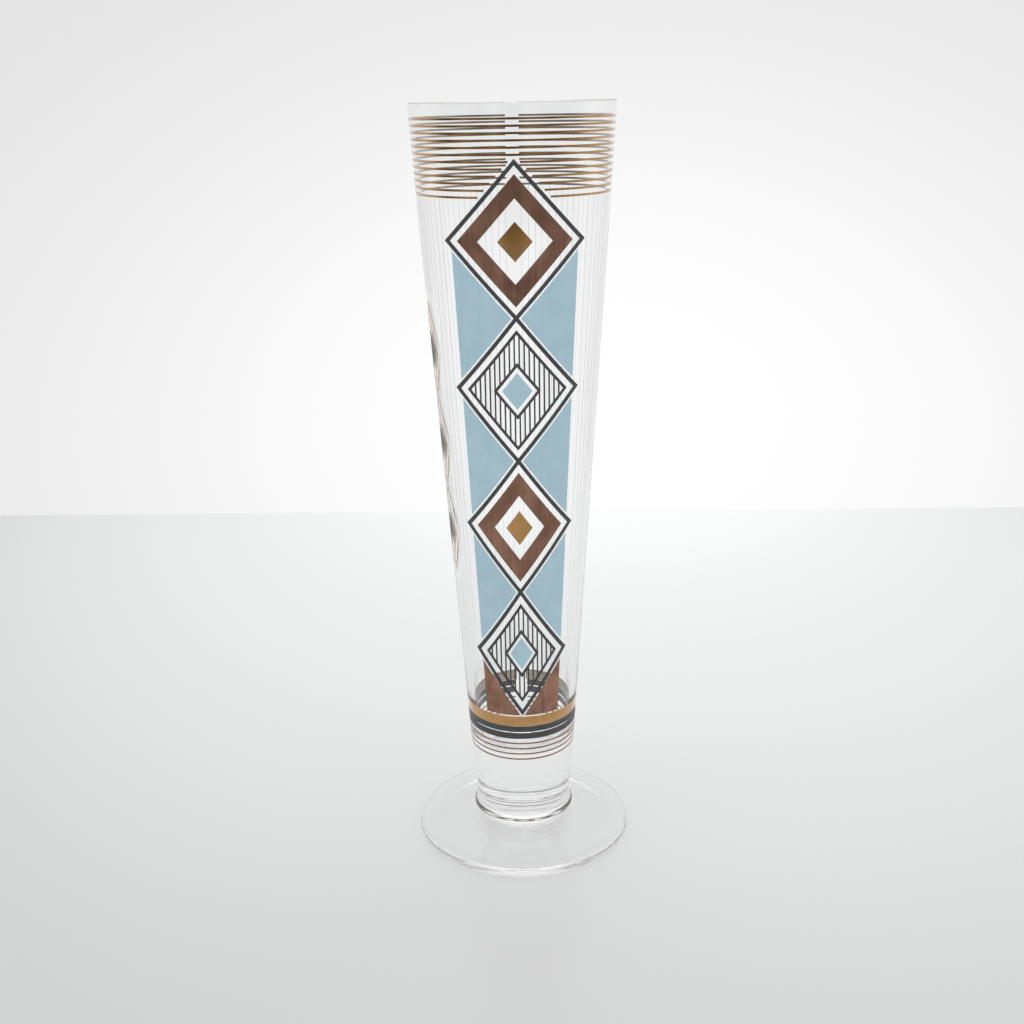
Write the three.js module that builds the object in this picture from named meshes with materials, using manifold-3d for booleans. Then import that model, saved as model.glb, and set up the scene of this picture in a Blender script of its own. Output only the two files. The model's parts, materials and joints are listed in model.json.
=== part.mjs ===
// Tall footed beer glass with a fired-on print. A straight cone of clear glass stands on its
// solid stem end, a rounded bead and a disc foot. The print is thin films of gold, copper,
// charcoal and pale blue on the outside of the cone.
// Millimetres, +Z up, the foot stands on z = 0. The print's front faces -Y, its seam faces +Y.

import * as THREE from 'three';
import { mergeVertices } from 'three/addons/utils/BufferGeometryUtils.js';
import Module from 'manifold-3d';

const wasm = await Module();
wasm.setup();

// Foot
const footDiameter = 75;
const footEdgeThickness = 3.2;
const footCrownHeight = 6.3;
const restingRingWidth = 4.6;
const footHollowDepth = 3.6;

// Bead between the foot and the bowl
const beadDiameter = 35.4;
const beadHeight = 6.5;
const beadFootDiameter = 30;

// Bowl: solid stem end, straight cone, rounded lip
const glassHeight = 250;
const rimDiameter = 64;
const coneStartDiameter = 35.8;
const waistDiameter = 33;
const stemEndLength = 18.2;
const solidBaseThickness = 20.4;
const wallAtRim = 1.1;
const wallAtBase = 2.4;
const cavityFloorRise = 9;

// Print films, all on the outside of the cone
const filmThickness = 0.12;
const filmClearance = 0.06;
const filmGap = 0.5;
const seamGap = 4.6;

// Gold rings under the rim; those below the whole ones open at the front for the motif
const ringCount = 12;
const wholeRingCount = 6;
const firstRingDrop = 4.7;
const ringPitch = 1.98;
const ringLine = 0.64;

// Fine vertical lines between the last ring and the gold band
const fineLineWidth = 0.2;
const fineLinesEachSide = 28;

// Bands and copper rings above the stem end, from the lowest up
const copperRingCount = 4;
const lowestRingRise = 3.65;
const copperRingPitch = 2.07;
const copperRingLine = 0.55;
const bandRise = 1.85;
const lowerBandHeight = 2.3;
const bareLine = 0.45;
const upperBandHeight = 2.25;
const goldBandHeight = 3.8;
const bandJointGap = 0.1;

// Front motif: a column of lozenges that narrows with the cone
const lozengeCount = 4;
const lozengeWidthShare = 0.68;
const lozengeFootRise = 1.6;
const latticeLine = 1.2;
const windowGap = 1.6;
const copperFrameWidth = 4.5;
const stripeFrameLine = 0.9;
const stripeWidth = 0.5;
const stripePitch = 1.5;
const coreShare = 0.26;
const coreWindowShare = 0.4;

// Left-side motif: a chain of small lozenges
const chainAzimuth = THREE.MathUtils.degToRad(-80);
const chainDrop = 60;
const chainLozengeCount = 3;
const chainLozengeHeight = 30;
const chainLozengeWidth = 13;
const chainLine = 1.2;
const chainCoreShare = 0.45;

// The whole glass is faceted alike, so that films lie flat on the cone's facets
const facetCount = 40;
const facetAngle = (2 * Math.PI) / facetCount;
const blankFacetsEachSide = 10;
const curveSteps = 4;
const lipSteps = 2;

// Heights that follow from the sizes above
const footRadius = footDiameter / 2;
const footEdgeRadius = footEdgeThickness / 2;
const restingOuterRadius = footRadius - footEdgeRadius;
const restingInnerRadius = restingOuterRadius - restingRingWidth;
const beadFootRadius = beadFootDiameter / 2;
const waistRadius = waistDiameter / 2;
const bowlBase = footCrownHeight + beadHeight;
const coneStart = bowlBase + stemEndLength;
const cavityFloor = bowlBase + solidBaseThickness;
const lipRadius = wallAtRim / 2;
const lipHeight = glassHeight - lipRadius;
const lowerBandLow = coneStart + lowestRingRise + (copperRingCount - 1) * copperRingPitch + bandRise;
const upperBandLow = lowerBandLow + lowerBandHeight + bareLine;
const goldBandLow = upperBandLow + upperBandHeight;
const goldBandTop = goldBandLow + goldBandHeight;
const lozengeTop = ringHeight(wholeRingCount + 1);
const lozengeBottom = goldBandTop + lozengeFootRise;
const lozengeHeight = (lozengeTop - lozengeBottom) / lozengeCount;
const filmReach = rimDiameter;

function wallRadius(z) {
  const slope = (rimDiameter - coneStartDiameter) / 2 / (glassHeight - coneStart);
  return coneStartDiameter / 2 + slope * (z - coneStart);
}

function ringHeight(number) {
  return glassHeight - firstRingDrop - (number - 1) * ringPitch;
}

function material(color, roughness, metalness) {
  return new THREE.MeshStandardMaterial({ color, roughness, metalness });
}

const clearGlass = () => new THREE.MeshStandardMaterial({
  color: 0xf2f6f5, roughness: 0.03, metalness: 0, transparent: true, opacity: 0.35,
});
const gold = () => material(0xc8a05a, 0.28, 0.9);
const copper = () => material(0x7d5747, 0.34, 0.8);
const charcoal = () => material(0x3d3e40, 0.4, 0.1);
const paleBlue = () => material(0x9bbdca, 0.35, 0);

const glass = new THREE.Group();

function addPiece(name, geometry, finish) {
  const mesh = new THREE.Mesh(geometry, finish);
  mesh.name = name;
  glass.add(mesh);
}

// A profile of radius and height, turned round the upright axis
function turned(points) {
  const geometry = new THREE.LatheGeometry(points, facetCount);
  geometry.rotateX(Math.PI / 2);
  return geometry;
}

function makeFoot() {
  const crownShare = 0.12;
  const flareShare = 0.4;
  const hollowShare = 0.5;
  const flareRadius = THREE.MathUtils.lerp(beadFootRadius, restingOuterRadius, flareShare);
  const flareHeight = THREE.MathUtils.lerp(footEdgeThickness, footCrownHeight, crownShare);
  const profile = new THREE.Path();
  profile.moveTo(0, footHollowDepth);
  profile.quadraticCurveTo(restingInnerRadius * hollowShare, footHollowDepth, restingInnerRadius, 0);
  profile.lineTo(restingOuterRadius, 0);
  profile.absarc(restingOuterRadius, footEdgeRadius, footEdgeRadius, -Math.PI / 2, Math.PI / 2);
  profile.quadraticCurveTo(flareRadius, flareHeight, beadFootRadius, footCrownHeight);
  profile.lineTo(0, footCrownHeight);
  return turned(profile.getPoints(curveSteps));
}

function makeBead() {
  const bellyHeightShare = 0.42;
  const bellyPullShare = 0.15;
  const neckPullShare = 0.45;
  const bellyRadius = beadDiameter / 2;
  const bellyHeight = footCrownHeight + beadHeight * bellyHeightShare;
  const pull = beadHeight * bellyPullShare;
  const neckPull = beadHeight * neckPullShare;
  const profile = new THREE.Path();
  profile.moveTo(0, footCrownHeight);
  profile.lineTo(beadFootRadius, footCrownHeight);
  profile.quadraticCurveTo(bellyRadius, footCrownHeight, bellyRadius, bellyHeight);
  profile.bezierCurveTo(
    bellyRadius, bellyHeight + pull,
    waistRadius, bowlBase - neckPull,
    waistRadius, bowlBase,
  );
  profile.lineTo(0, bowlBase);
  return turned(profile.getPoints(curveSteps));
}

// The stem end flares from the upright waist into the cone, then the wall is straight to the lip
function makeBowl() {
  const uprightShare = 0.4;
  const flareShare = 0.67;
  const uprightHeight = bowlBase + stemEndLength * uprightShare;
  const flareHeight = bowlBase + stemEndLength * flareShare;
  const cavityWallEnd = cavityFloor + cavityFloorRise;
  const cavityRadius = wallRadius(cavityWallEnd) - wallAtBase;
  const lipOuterRadius = wallRadius(lipHeight);
  const profile = new THREE.Path();
  profile.moveTo(0, bowlBase);
  profile.lineTo(waistRadius, bowlBase);
  profile.bezierCurveTo(
    waistRadius, uprightHeight,
    wallRadius(flareHeight), flareHeight,
    coneStartDiameter / 2, coneStart,
  );
  profile.lineTo(lipOuterRadius, lipHeight);
  const points = profile.getPoints(curveSteps);
  const inside = new THREE.Path();
  inside.absarc(lipOuterRadius - lipRadius, lipHeight, lipRadius, 0, Math.PI);
  inside.lineTo(cavityRadius, cavityWallEnd);
  points.push(...inside.getPoints(lipSteps).slice(1));
  const floor = new THREE.QuadraticBezierCurve(
    new THREE.Vector2(cavityRadius, cavityWallEnd),
    new THREE.Vector2(cavityRadius, cavityFloor),
    new THREE.Vector2(0, cavityFloor),
  );
  points.push(...floor.getPoints(curveSteps).slice(1));
  return turned(points);
}

// Distance from the axis to a flat facet whose corners lie at the given radius
function facetDistance(cornerRadius, angle) {
  const facetMiddle = (Math.floor(angle / facetAngle) + 0.5) * facetAngle;
  return (cornerRadius * Math.cos(facetAngle / 2)) / Math.cos(angle - facetMiddle);
}

// Points where a film bends: its own two ends and the facets' edges between them
function bendAngles(fromAngle, toAngle) {
  const nearEdgeShare = 0.02;
  const angles = [fromAngle];
  for (let k = Math.ceil(fromAngle / facetAngle); k <= toAngle / facetAngle; k += 1) {
    const edge = k * facetAngle;
    const room = Math.min(edge - fromAngle, toAngle - edge);
    if (room > facetAngle * nearEdgeShare) angles.push(edge);
  }
  angles.push(toAngle);
  return angles;
}

// A film on the cone, made of strips side by side. A strip lies between two angles and covers
// one or more spans of height; the angle grows from the front towards +X. The film's back lies
// off the glass by the clearance, so that the solids never overlap.
function filmOfStrips(strips) {
  const back = filmClearance;
  const face = filmClearance + filmThickness;
  const positions = [];

  function corner(angle, z, offset) {
    const distance = facetDistance(wallRadius(z) + offset, angle);
    return [distance * Math.sin(angle), -distance * Math.cos(angle), z];
  }

  function addQuad(a, b, c, d) {
    positions.push(...a, ...b, ...c, ...a, ...c, ...d);
  }

  function hasSpan(strip, low, high) {
    return strip !== undefined && strip.spans.some((span) => span[0] === low && span[1] === high);
  }

  strips.forEach((strip, i) => {
    const fromCorner = (z, offset) => corner(strip.from, z, offset);
    const toCorner = (z, offset) => corner(strip.to, z, offset);
    const before = strips[i - 1]?.to === strip.from ? strips[i - 1] : undefined;
    const after = strips[i + 1]?.from === strip.to ? strips[i + 1] : undefined;
    for (const [low, high] of strip.spans) {
      addQuad(fromCorner(low, face), toCorner(low, face), toCorner(high, face), fromCorner(high, face));
      addQuad(fromCorner(high, back), toCorner(high, back), toCorner(low, back), fromCorner(low, back));
      if (!strip.spans.some((span) => span[1] === low)) {
        addQuad(fromCorner(low, back), toCorner(low, back), toCorner(low, face), fromCorner(low, face));
      }
      if (!strip.spans.some((span) => span[0] === high)) {
        addQuad(fromCorner(high, face), toCorner(high, face), toCorner(high, back), fromCorner(high, back));
      }
      if (!hasSpan(before, low, high)) {
        addQuad(fromCorner(low, back), fromCorner(low, face), fromCorner(high, face), fromCorner(high, back));
      }
      if (!hasSpan(after, low, high)) {
        addQuad(toCorner(low, back), toCorner(high, back), toCorner(high, face), toCorner(low, face));
      }
    }
  });
  const geometry = new THREE.BufferGeometry();
  geometry.setAttribute('position', new THREE.Float32BufferAttribute(positions, 3));
  return geometry;
}

// A plain film between two heights and two angles
function film(low, high, fromAngle, toAngle) {
  const angles = bendAngles(fromAngle, toAngle);
  const strips = [];
  for (let i = 1; i < angles.length; i += 1) {
    strips.push({ from: angles[i - 1], to: angles[i], spans: [[low, high]] });
  }
  return filmOfStrips(strips);
}

// Half the angle that the seam's gap takes at a height
function seamAngle(z) {
  return Math.asin(seamGap / 2 / wallRadius(z));
}

// A film all the way round, open at the seam
function filmRing(middle, line) {
  const open = Math.PI - seamAngle(middle);
  return film(middle - line / 2, middle + line / 2, -open, open);
}

function solidOf(geometry) {
  const bare = geometry.clone();
  bare.deleteAttribute('normal');
  bare.deleteAttribute('uv');
  const merged = mergeVertices(bare);
  return new wasm.Manifold(new wasm.Mesh({
    numProp: 3,
    vertProperties: merged.attributes.position.array,
    triVerts: new Uint32Array(merged.index.array),
  }));
}

function geometryOf(solid) {
  const mesh = solid.getMesh();
  const geometry = new THREE.BufferGeometry();
  geometry.setAttribute('position', new THREE.BufferAttribute(mesh.vertProperties, 3));
  geometry.setIndex(new THREE.BufferAttribute(mesh.triVerts, 1));
  return geometry;
}

function joined(solids) {
  return solids.reduce((sum, solid) => sum.add(solid));
}

// An outline drawn in the plane of x and z, pushed out of the axis through the wall that
// faces the azimuth
function pushed(shape, azimuth = 0) {
  const geometry = new THREE.ExtrudeGeometry(shape, { depth: filmReach, bevelEnabled: false });
  geometry.rotateX(Math.PI / 2);
  geometry.rotateZ(azimuth);
  return solidOf(geometry);
}

// The blank that a motif is cut from: one film over the part of the wall that it can reach
function filmBlank(low, high, azimuth = 0) {
  const blankHalfAngle = facetAngle * blankFacetsEachSide;
  const nearestEdge = Math.round(azimuth / facetAngle) * facetAngle;
  return solidOf(film(low, high, nearestEdge - blankHalfAngle, nearestEdge + blankHalfAngle));
}

// Corners of a lozenge whose sides are moved in by the inset, or out where it is negative
function lozengeCorners({ middle, halfWidth, halfHeight }, inset) {
  const sideDistance = (halfWidth * halfHeight) / Math.hypot(halfWidth, halfHeight);
  const share = 1 - inset / sideDistance;
  return [
    new THREE.Vector2(halfWidth * share, middle),
    new THREE.Vector2(0, middle + halfHeight * share),
    new THREE.Vector2(-halfWidth * share, middle),
    new THREE.Vector2(0, middle - halfHeight * share),
  ];
}

function lozengeShape(lozenge, inset) {
  return new THREE.Shape(lozengeCorners(lozenge, inset));
}

function lozengeFrame(lozenge, outerInset, innerInset) {
  const shape = lozengeShape(lozenge, outerInset);
  shape.holes.push(new THREE.Path(lozengeCorners(lozenge, innerInset)));
  return shape;
}

function scaledLozenge(lozenge, share) {
  return {
    middle: lozenge.middle,
    halfWidth: lozenge.halfWidth * share,
    halfHeight: lozenge.halfHeight * share,
  };
}

// A triangle whose sides are all moved in by the same distance
function insetTriangle(a, b, c, inset) {
  const oppositeA = b.distanceTo(c);
  const oppositeB = c.distanceTo(a);
  const oppositeC = a.distanceTo(b);
  const around = oppositeA + oppositeB + oppositeC;
  const centre = new THREE.Vector2()
    .addScaledVector(a, oppositeA / around)
    .addScaledVector(b, oppositeB / around)
    .addScaledVector(c, oppositeC / around);
  const twiceArea = Math.abs((b.x - a.x) * (c.y - a.y) - (c.x - a.x) * (b.y - a.y));
  const share = 1 - (inset * around) / twiceArea;
  return new THREE.Shape([a, b, c].map((corner) => centre.clone().lerp(corner, share)));
}

const lozenges = [];
for (let k = 0; k < lozengeCount; k += 1) {
  const middle = lozengeTop - (k + 0.5) * lozengeHeight;
  const halfWidth = wallRadius(middle) * lozengeWidthShare;
  lozenges.push({ middle, halfWidth, halfHeight: lozengeHeight / 2 });
}
const frontBlank = filmBlank(goldBandTop + filmGap, lozengeTop + ringPitch);
const clearOfLattice = latticeLine / 2 + filmGap;

// Half the opening that the front motif needs in a ring: the lattice's edge at that height
function frontOpening(middle) {
  const { halfWidth, halfHeight } = lozenges[0];
  const low = middle - ringLine / 2;
  const sidewaysShare = Math.hypot(halfWidth, halfHeight) / halfHeight;
  const edge = (halfWidth * (lozengeTop - low)) / halfHeight + clearOfLattice * sidewaysShare;
  return Math.asin(edge / wallRadius(middle));
}

function halfRing(middle, side) {
  const inner = frontOpening(middle);
  const outer = Math.PI - seamAngle(middle);
  const low = middle - ringLine / 2;
  const high = middle + ringLine / 2;
  return side > 0 ? film(low, high, inner, outer) : film(low, high, -outer, -inner);
}

function addGoldRings() {
  for (let number = 1; number < ringCount; number += 1) {
    const middle = ringHeight(number);
    const name = `gold_ring_${String(number).padStart(2, '0')}`;
    if (number <= wholeRingCount) {
      addPiece(name, filmRing(middle, ringLine), gold());
    } else {
      addPiece(`${name}_left`, halfRing(middle, -1), gold());
      addPiece(`${name}_right`, halfRing(middle, 1), gold());
    }
  }
}

const chainLozenges = [];
for (let k = 0; k < chainLozengeCount; k += 1) {
  chainLozenges.push({
    middle: glassHeight - chainDrop - (k + 0.5) * chainLozengeHeight,
    halfWidth: chainLozengeWidth / 2,
    halfHeight: chainLozengeHeight / 2,
  });
}

// Where a fine line is left out for the chain: between its top and bottom tips
function chainWindow() {
  const { halfWidth, halfHeight, middle } = chainLozenges[0];
  const sideDistance = (halfWidth * halfHeight) / Math.hypot(halfWidth, halfHeight);
  const outsetShare = 1 + (chainLine / 2 + filmGap) / sideDistance;
  const last = chainLozenges[chainLozengeCount - 1];
  return {
    halfAngle: Math.asin((halfWidth * outsetShare) / wallRadius(last.middle)),
    high: middle + halfHeight * outsetShare,
    low: last.middle - halfHeight * outsetShare,
  };
}

// The last gold ring, the fine lines that hang from it and the band they run into are one film
function goldField() {
  const lastRing = ringHeight(ringCount);
  const ringLow = lastRing - ringLine / 2;
  const ringHigh = lastRing + ringLine / 2;
  const lineMiddle = (lastRing + goldBandTop) / 2;
  const columnEdge = Math.asin(lozengeWidthShare);
  const lineMargin = Math.asin((latticeLine + filmGap) / wallRadius(lineMiddle));
  const halfLine = fineLineWidth / 2 / wallRadius(lineMiddle);
  const firstLine = columnEdge + lineMargin;
  const open = Math.PI - seamAngle(lineMiddle);
  const ringOpening = frontOpening(lastRing);
  const window = chainWindow();

  const lines = [];
  for (let k = 0; k < fineLinesEachSide; k += 1) {
    const angle = THREE.MathUtils.lerp(firstLine, open - halfLine, k / (fineLinesEachSide - 1));
    lines.push(-angle, angle);
  }

  const facetEdges = bendAngles(-open, open);
  const lineEdges = lines.flatMap((angle) => [angle - halfLine, angle + halfLine]);
  const clearOfLines = facetEdges.filter(
    (edge) => lines.every((angle) => Math.abs(Math.abs(edge - angle) - halfLine) > halfLine / 2),
  );
  const angles = [...new Set([...clearOfLines, ...lineEdges, -ringOpening, ringOpening])];
  angles.sort((a, b) => a - b);

  const strips = [];
  for (let i = 1; i < angles.length; i += 1) {
    const from = angles[i - 1];
    const to = angles[i];
    const middle = (from + to) / 2;
    const spans = [[goldBandLow, goldBandTop]];
    if (lines.some((angle) => Math.abs(middle - angle) < halfLine)) {
      if (Math.abs(middle - chainAzimuth) < window.halfAngle) {
        spans.push([goldBandTop, window.low], [window.high, ringLow]);
      } else {
        spans.push([goldBandTop, ringLow]);
      }
    }
    if (Math.abs(middle) > ringOpening) spans.push([ringLow, ringHigh]);
    strips.push({ from, to, spans });
  }
  return filmOfStrips(strips);
}

function addBands() {
  const lowerMiddle = lowerBandLow + lowerBandHeight / 2;
  const upperHeight = upperBandHeight - bandJointGap;
  addPiece('charcoal_band_upper', filmRing(upperBandLow + upperHeight / 2, upperHeight), charcoal());
  addPiece('charcoal_band_lower', filmRing(lowerMiddle, lowerBandHeight), charcoal());
  for (let k = 0; k < copperRingCount; k += 1) {
    const middle = coneStart + lowestRingRise + k * copperRingPitch;
    addPiece(`copper_ring_${k + 1}`, filmRing(middle, copperRingLine), copper());
  }
}

function cutFromFront(solid) {
  return geometryOf(frontBlank.intersect(solid));
}

function addLattice() {
  const frames = lozenges.map(
    (lozenge) => pushed(lozengeFrame(lozenge, -latticeLine / 2, latticeLine / 2)),
  );
  addPiece('lattice', cutFromFront(joined(frames)), charcoal());
}

const insideWindow = latticeLine / 2 + windowGap;

function addCopperLozenge(name, lozenge) {
  const frame = lozengeFrame(lozenge, insideWindow, insideWindow + copperFrameWidth);
  addPiece(`copper_lozenge_${name}`, cutFromFront(pushed(frame)), copper());
  const core = lozengeShape(scaledLozenge(lozenge, coreShare), 0);
  addPiece(`gold_diamond_${name}`, cutFromFront(pushed(core)), gold());
}

// Upright stripes inside a framed lozenge, with a framed window round the small diamond
function addStripedLozenge(name, lozenge) {
  const bar = new THREE.Shape([
    new THREE.Vector2(-stripeWidth / 2, lozenge.middle - lozenge.halfHeight),
    new THREE.Vector2(stripeWidth / 2, lozenge.middle - lozenge.halfHeight),
    new THREE.Vector2(stripeWidth / 2, lozenge.middle + lozenge.halfHeight),
    new THREE.Vector2(-stripeWidth / 2, lozenge.middle + lozenge.halfHeight),
  ]);
  const stripeBar = pushed(bar);
  const bars = [];
  const barsEachSide = Math.floor(lozenge.halfWidth / stripePitch);
  for (let k = -barsEachSide; k < barsEachSide; k += 1) {
    bars.push(stripeBar.translate([(k + 0.5) * stripePitch, 0, 0]));
  }
  const windowLozenge = scaledLozenge(lozenge, coreWindowShare);
  const outline = pushed(lozengeShape(lozenge, insideWindow + stripeFrameLine / 2));
  const striped = joined(bars)
    .intersect(outline)
    .add(pushed(lozengeFrame(lozenge, insideWindow, insideWindow + stripeFrameLine)))
    .subtract(pushed(lozengeShape(windowLozenge, stripeFrameLine / 2)))
    .add(pushed(lozengeFrame(windowLozenge, 0, stripeFrameLine)));
  addPiece(`striped_lozenge_${name}`, cutFromFront(striped), charcoal());
  const core = lozengeShape(scaledLozenge(lozenge, coreShare), 0);
  addPiece(`blue_diamond_${name}`, cutFromFront(pushed(core)), paleBlue());
}

// The half lozenges left and right of each joint between two lozenges
function addBlueTriangles() {
  for (let k = 0; k < lozengeCount - 1; k += 1) {
    const above = lozenges[k];
    const below = lozenges[k + 1];
    for (const [sideName, side] of [['left', -1], ['right', 1]]) {
      const triangle = insetTriangle(
        new THREE.Vector2(0, above.middle - above.halfHeight),
        new THREE.Vector2(side * above.halfWidth, above.middle),
        new THREE.Vector2(side * below.halfWidth, below.middle),
        clearOfLattice,
      );
      addPiece(`blue_triangle_${k + 1}_${sideName}`, cutFromFront(pushed(triangle)), paleBlue());
    }
  }
}

// Two copper corners between the lowest lozenge and the gold band
function addCopperCorners() {
  const lowest = lozenges[lozengeCount - 1];
  const cornerLow = goldBandTop + filmGap - clearOfLattice;
  const tipX = (lowest.halfWidth * (cornerLow - lozengeBottom)) / lowest.halfHeight;
  for (const [sideName, side] of [['left', -1], ['right', 1]]) {
    const triangle = insetTriangle(
      new THREE.Vector2(side * tipX, cornerLow),
      new THREE.Vector2(side * wallRadius(cornerLow) * lozengeWidthShare, cornerLow),
      new THREE.Vector2(side * lowest.halfWidth, lowest.middle),
      clearOfLattice,
    );
    addPiece(`copper_corner_${sideName}`, cutFromFront(pushed(triangle)), copper());
  }
}

function addSideChain() {
  const chainTop = glassHeight - chainDrop + ringPitch;
  const chainBottom = glassHeight - chainDrop - chainLozengeCount * chainLozengeHeight - ringPitch;
  const blank = filmBlank(chainBottom, chainTop, chainAzimuth);
  const frames = chainLozenges.map(
    (lozenge) => pushed(lozengeFrame(lozenge, -chainLine / 2, chainLine / 2), chainAzimuth),
  );
  addPiece('side_chain', geometryOf(blank.intersect(joined(frames))), gold());
  chainLozenges.forEach((lozenge, k) => {
    const core = pushed(lozengeShape(scaledLozenge(lozenge, chainCoreShare), 0), chainAzimuth);
    addPiece(`side_diamond_${k + 1}`, geometryOf(blank.intersect(core)), charcoal());
  });
}

addPiece('foot', makeFoot(), clearGlass());
addPiece('stem_bead', makeBead(), clearGlass());
addPiece('bowl', makeBowl(), clearGlass());
addGoldRings();
addPiece('gold_field', goldField(), gold());
addBands();
addLattice();
addCopperLozenge('upper', lozenges[0]);
addStripedLozenge('upper', lozenges[1]);
addCopperLozenge('lower', lozenges[2]);
addStripedLozenge('lower', lozenges[3]);
addBlueTriangles();
addCopperCorners();
addSideChain();

export default glass;
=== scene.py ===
import json
import math

import bmesh
import bpy
import numpy as np
from mathutils import Matrix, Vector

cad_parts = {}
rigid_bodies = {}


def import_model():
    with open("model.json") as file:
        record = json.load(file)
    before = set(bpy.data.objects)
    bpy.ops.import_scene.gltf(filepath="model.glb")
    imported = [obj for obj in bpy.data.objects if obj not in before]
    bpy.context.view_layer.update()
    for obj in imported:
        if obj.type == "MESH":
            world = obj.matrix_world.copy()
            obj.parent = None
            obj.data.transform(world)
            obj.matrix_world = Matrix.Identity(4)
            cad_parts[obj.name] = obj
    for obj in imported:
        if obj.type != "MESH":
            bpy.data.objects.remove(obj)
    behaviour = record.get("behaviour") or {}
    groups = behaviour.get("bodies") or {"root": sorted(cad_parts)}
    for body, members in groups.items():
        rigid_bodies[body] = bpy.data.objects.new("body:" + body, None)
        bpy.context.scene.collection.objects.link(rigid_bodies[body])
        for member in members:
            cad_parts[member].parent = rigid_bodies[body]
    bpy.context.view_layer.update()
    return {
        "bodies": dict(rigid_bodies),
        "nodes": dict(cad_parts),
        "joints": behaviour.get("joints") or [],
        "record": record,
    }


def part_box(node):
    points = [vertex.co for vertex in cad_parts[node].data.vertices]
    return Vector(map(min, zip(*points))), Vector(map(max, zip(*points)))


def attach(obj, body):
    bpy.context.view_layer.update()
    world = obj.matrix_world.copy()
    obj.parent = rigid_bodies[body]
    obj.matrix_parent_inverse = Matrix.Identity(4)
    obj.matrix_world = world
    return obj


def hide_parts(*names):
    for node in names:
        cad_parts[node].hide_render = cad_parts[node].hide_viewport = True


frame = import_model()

mm = 0.001

# Tall footed beer glass: clear glass in three gathers joined hot, and a fired-on print of gold,
# copper, charcoal and pale blue films on the outside of its cone. Metres, +Z up, front to -Y.


# A colour written as 0 to 255 screen values, turned by the sRGB curve to the linear values that
# nodes take
def screenColor(red, green, blue):
    share = np.array([red, green, blue]) / 255
    linear = np.where(share <= 0.04045, share / 12.92, ((share + 0.055) / 1.055) ** 2.4)
    return (*linear.tolist(), 1.0)


filmSettings = {
    "cadFace": 0.18 * mm,     # how far the faces of the plain film solids stand off the wall
    "face": 0.05 * mm,        # fired film: its face stands this far off the wall
    "lineFace": 0.012 * mm,   # the fine lines are flatter, so that they fade where seen edge on
    "sunk": 0.012 * mm,       # the back lies this deep in the glass, as a fused film does
    "cell": 0.9 * mm,         # longest side of a cell on the curved wall
    "angleStep": math.radians(1.5),
    "mergeReach": 0.0005 * mm,
    "seamGap": 4.6 * mm,
}

# The straight wall of the cone, read off the highest and the lowest ring of the print
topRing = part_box("gold_ring_01")[1]
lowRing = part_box("copper_ring_1")[1]
coneSlope = (topRing.x - lowRing.x) / (topRing.z - lowRing.z)


def coneRadius(z):
    return lowRing.x - filmSettings["cadFace"] + coneSlope * (z - lowRing.z)


print("frame read:", len(frame["nodes"]), "nodes, cone slope", round(coneSlope, 5))


# Node helpers

def newMaterial(name):
    material = bpy.data.materials.new(name)
    material.use_nodes = True
    return material, material.node_tree.nodes["Principled BSDF"]


def newGroup(name, inputs, outputs):
    tree = bpy.data.node_groups.new(name, "ShaderNodeTree")
    for label, kind in inputs:
        tree.interface.new_socket(label, in_out="INPUT", socket_type=kind)
    for label, kind in outputs:
        tree.interface.new_socket(label, in_out="OUTPUT", socket_type=kind)
    return tree, tree.nodes.new("NodeGroupInput"), tree.nodes.new("NodeGroupOutput")


def placeGroup(nodes, tree, values):
    node = nodes.new("ShaderNodeGroup")
    node.node_tree = tree
    for label, value in values.items():
        node.inputs[label].default_value = value
    return node


def addNoise(nodes, scale, detail, roughness=0.5):
    node = nodes.new("ShaderNodeTexNoise")
    node.inputs["Scale"].default_value = scale
    node.inputs["Detail"].default_value = detail
    node.inputs["Roughness"].default_value = roughness
    return node


def addMath(nodes, operation, second=None):
    node = nodes.new("ShaderNodeMath")
    node.operation = operation
    if second is not None:
        node.inputs[1].default_value = second
    return node


def addRange(nodes, fromLow, fromHigh, toLow, toHigh, smooth=False):
    node = nodes.new("ShaderNodeMapRange")
    node.interpolation_type = "SMOOTHSTEP" if smooth else "LINEAR"
    for label, value in zip(("From Min", "From Max", "To Min", "To Max"),
                            (fromLow, fromHigh, toLow, toHigh)):
        node.inputs[label].default_value = value
    return node


# Distance of a vector from a place, with each axis stretched first
def addReach(nodes, link, vector, stretch, place):
    offset = nodes.new("ShaderNodeVectorMath")
    offset.operation = "MULTIPLY_ADD"
    offset.inputs[1].default_value = stretch
    offset.inputs[2].default_value = [-p * k for p, k in zip(place, stretch)]
    link(vector, offset.inputs[0])
    reach = nodes.new("ShaderNodeVectorMath")
    reach.operation = "LENGTH"
    link(offset.outputs["Vector"], reach.inputs[0])
    return reach


# A smooth ramp through brightness stops, in one tint
def addRamp(nodes, stops, tint=(1, 1, 1)):
    node = nodes.new("ShaderNodeValToRGB")
    ramp = node.color_ramp
    ramp.interpolation = "CARDINAL"
    while len(ramp.elements) < len(stops):
        ramp.elements.new(1)
    for element, (spot, level) in zip(ramp.elements, stops):
        element.position = spot
        element.color = (*[level * share for share in tint], 1)
    return node


# A mix of two colours, given as its sockets: share of the second, first, second and result
def addColorMix(nodes, blend="MIX"):
    node = nodes.new("ShaderNodeMix")
    node.data_type = "RGBA"
    node.blend_type = blend
    return node.inputs[0], node.inputs[6], node.inputs[7], node.outputs[2]


# Effects that several finishes share

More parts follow.
